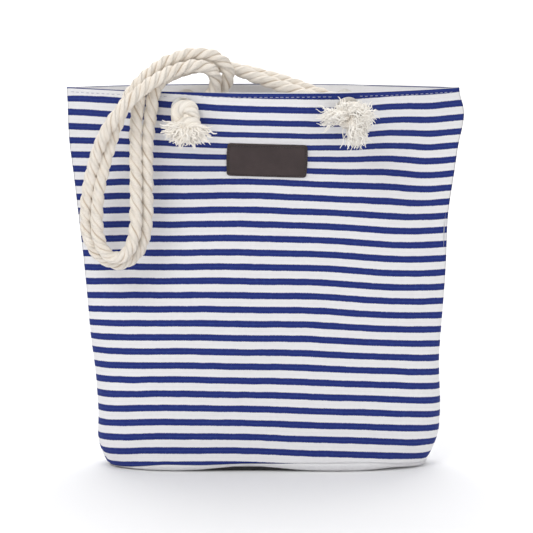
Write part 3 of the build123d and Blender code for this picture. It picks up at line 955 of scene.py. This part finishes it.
# each hand's knot: its plan, its size, how far it is moved sideways and up, and its rope's thickness
KNOT_STYLES = {"left": (OVERHAND, 0.93, 2.2, -3.6, 1.06), "right": (LOW_KNOT, 1.0, 2, -4, 1.0)}
for side, word in ((FRONT, "front"), (BACK, "back")):
    for sign, hand in ((-1, "left"), (1, "right")):
        y = float(surface(side, sign * EYELET_X, EYELET_Z))
        shape, size, aside, lift, thick = KNOT_STYLES[hand]
        plan = [(a * size + aside, b * size, c * size + lift) for a, b, c in shape]
        knot(f"{word}_{hand}_rope_knot", f"{word}_{hand}_knot",
                                 (sign * EYELET_X, y, EYELET_Z), side, plan, 11 + sign + 5 * side, thick)


# ---- frayed ends ----
YARN_SIDES, YARN_POINTS, YARN_GAP, YARN_DROOP = 5, 17, 0.4, 0.05
TUFT_LIMIT = {FRONT: 92.0, BACK: 75.0}  # how far out a yarn may reach, in Y
TUFT_RISE = {FRONT: 1.0, BACK: 0.4}  # the share of its rise off the cloth that a yarn keeps


def yarn_tube(line, radius):
    """One yarn, slightly thinner at its end."""
    _, one, two = carried_frames(line)
    rows = len(line)
    taper = np.clip((1.02 - np.linspace(0, 1, rows)) * 9, 0.6, 1.0)
    rings = []
    for j in range(YARN_SIDES):
        turn = 2 * pi * j / YARN_SIDES
        rings.append(line + (radius * taper)[:, None] * (cos(turn) * one + sin(turn) * two))
    points = np.stack(rings, 1).reshape(-1, 3)
    faces = grid_faces(rows, YARN_SIDES, wrap=True)
    faces += [list(range(YARN_SIDES))[::-1], [(rows - 1) * YARN_SIDES + j for j in range(YARN_SIDES)]]
    return points, faces


def tuft(name, node, root, side, count, wisps, groups, seed, radius, curl, wave, overall_darkening):
    """Loose yarns that fan out of the knot in groups. Each wisp is a main direction, measured from
    straight down, its spread, its reach and its share of the yarns."""
    draw = np.random.default_rng(seed)
    pieces, coords = [], []
    shares = np.array([w[3] for w in wisps], float)
    bundle = []
    for _ in range(groups):
        main, spread, reach, _share = wisps[draw.choice(len(wisps), p=shares / shares.sum())]
        fan, lift = draw.normal(main, spread), draw.uniform(-0.1, 0.75)
        bundle.append((fan, lift, reach * draw.uniform(0.88, 1.08)))
    for i in range(count):
        fan, lift, long = bundle[i % groups]
        fan = fan + draw.normal(0, 0.09)
        lift = (lift + draw.normal(0, 0.14)) * TUFT_RISE[side]
        length = long * draw.uniform(0.74, 1.0)
        level = cos(lift)
        away = np.array([sin(fan) * level, side * sin(lift), -cos(fan) * level])
        across_fan = np.array([cos(fan), 0, sin(fan)])
        outward = np.array([0, side, 0])
        t = np.linspace(0, 1, YARN_POINTS)
        bend, waves, phase = draw.normal(0, curl), draw.uniform(1.2, 3.2), draw.uniform(0, 6.28)
        scatter = [draw.normal(0, 2.4), side * draw.uniform(-3, 3), draw.normal(0, 1.8)]
        begin = np.array(root) + np.array(scatter)
        line = begin + away * (length * t)[:, None]
        sway = wave * np.sin(waves * 6.28 * t + phase) * np.minimum(1.6 * t, 1)
        ripple = 0.7 * wave * np.sin(waves * 5 * t + phase) * t
        line += across_fan * (bend * length * t ** 2 + sway)[:, None]
        line += outward * (2.2 * np.sin(pi * t) + ripple)[:, None]
        line[:, 2] -= YARN_DROOP * length * t ** 2
        wall = surface(side, line[:, 0], np.clip(line[:, 2], SEAM, TOP)) * side
        wall = wall + CLOTH_RISE + radius + YARN_GAP + slack(side, line[:, 0], line[:, 2]) * side
        free = np.where(line[:, 2] > TOP, -99, wall)
        line[:, 1] = side * np.maximum(np.minimum(line[:, 1] * side, TUFT_LIMIT[side]), free)
        pieces.append(yarn_tube(line, radius * draw.uniform(0.8, 1.2)))
        tone = draw.uniform(0, 0.18)
        angles = np.tile(np.arange(YARN_SIDES) * 1.26, YARN_POINTS)
        # painted shade near the knot, fading along the yarn, plus the yarn's own random tone and an even
        # darkening of the whole tuft
        depth = np.clip(0.85 - 1.7 * t, 0, 1) + tone + overall_darkening
        coords.append(np.stack([angles, np.repeat(t * length * MM, YARN_SIDES),
                                np.repeat(depth, YARN_SIDES)], 1))
    points, faces = joined(pieces)
    obj = new_object(name, points, faces, TUFT, attributes={"yarn": np.vstack(coords)})
    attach(obj, "bag")
    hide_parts(node)
    return obj


LEFT_WISPS = [
    (-1.3, 0.16, 27, 3), (-0.7, 0.2, 23, 3), (0.05, 0.22, 18, 4), (0.65, 0.2, 23, 3), (1.22, 0.16, 30, 3),
]
RIGHT_WISPS = [
    (-1.66, 0.12, 33, 4), (-2.1, 0.2, 20, 2), (-2.7, 0.25, 14, 2), (2.8, 0.25, 14, 2), (2.2, 0.2, 18, 2),
    (1.75, 0.2, 24, 3), (1.3, 0.2, 25, 3), (0.75, 0.15, 24, 3), (0.22, 0.12, 32, 5), (-0.8, 0.3, 12, 1),
]
for side, word in ((FRONT, "front"), (BACK, "back")):
    y = float(surface(side, EYELET_X, EYELET_Z))
    tuft(
        f"{word}_left_yarns", f"{word}_left_tassel", (-80.5, y + side * 12, 371.5), side, count=460,
        wisps=LEFT_WISPS, groups=30, seed=21 + side, radius=0.78, curl=0.16, wave=0.9, overall_darkening=0.22)
    tuft(
        f"{word}_right_yarns", f"{word}_right_tassel", (88, y + side * 14, 380), side, count=950,
        wisps=RIGHT_WISPS, groups=110, seed=31 + side, radius=0.56, curl=0.13, wave=1.7, overall_darkening=0.06)


# ---- CAD pieces that stay, with better materials ----
def dress(node, material):
    for slot in node.material_slots:
        slot.link = "OBJECT"
        slot.material = material


for word in ("front", "back"):
    for hand in ("left", "right"):
        for part in ("eyelet", "washer"):
            dress(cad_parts[f"{word}_{hand}_{part}"], METAL)
dress(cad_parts["base_board"], BOARD)

# ---- stage ----
BACKDROP_Y, BACKDROP_BEND = 7.0, 2.0  # where the backdrop turns up, and its bend
floor_mesh = bpy.data.meshes.new("floor")
bend = [(BACKDROP_Y + BACKDROP_BEND * sin(a), BACKDROP_BEND - BACKDROP_BEND * cos(a))
        for a in np.linspace(0.2, pi / 2, 8)]
rows = [(-3.2, 0.0), (BACKDROP_Y, 0.0)] + bend + [(BACKDROP_Y + BACKDROP_BEND, 6.0)]
floor_points = [(x, y, z - 0.0002) for y, z in rows for x in (-7.0, 7.0)]
floor_faces = [(2 * i, 2 * i + 1, 2 * i + 3, 2 * i + 2) for i in range(len(rows) - 1)]
floor_mesh.from_pydata(floor_points, [], floor_faces)
floor_mesh.polygons.foreach_set("use_smooth", [True] * len(floor_mesh.polygons))
paper = Nodes("backdrop_paper", roughness=0.9, specular=0.1)
paper_place = paper.place()
paper_patches = paper.span(paper.noise(paper_place, 3, 2), 0.3, 0.7)
paper_tone = paper.mix(paper_patches, (0.86, 0.86, 0.87), (0.87, 0.87, 0.88))
paper_grain = paper.bump(paper.noise(paper_place, 400, 2), 0.0001, 0.3)
floor_mesh.materials.append(paper.finish(paper_tone, paper_grain))
floor = bpy.data.objects.new("floor", floor_mesh)
SCENE.collection.objects.link(floor)


def light(name, place, aim, size, power):
    data = bpy.data.lights.new(name, "AREA")
    data.shape = "RECTANGLE"
    data.size, data.size_y = size
    data.energy = power
    obj = bpy.data.objects.new(name, data)
    obj.location = place
    obj.rotation_euler = (Vector(aim) - Vector(place)).to_track_quat("-Z", "Y").to_euler()
    SCENE.collection.objects.link(obj)


light("key", (-1.1, -2.0, 2.1), (0, 0, 0.2), (1.6, 1.6), 33)
light("fill", (1.8, -2.2, 1.3), (0, 0, 0.2), (1.8, 1.8), 11)
light("top", (0, 0.8, 2.6), (0, 0.2, 0.2), (2.4, 2.0), 28)
light("backdrop", (0, 5.5, 3.6), (0, 5.5, 0), (9.0, 6.5), 330)

world = bpy.data.worlds.new("studio")
world.use_nodes = True
background = world.node_tree.nodes["Background"]
background.inputs["Color"].default_value = (1.0, 1.0, 1.0, 1)
background.inputs["Strength"].default_value = 0.52
SCENE.world = world
SCENE.view_settings.view_transform = "Standard"
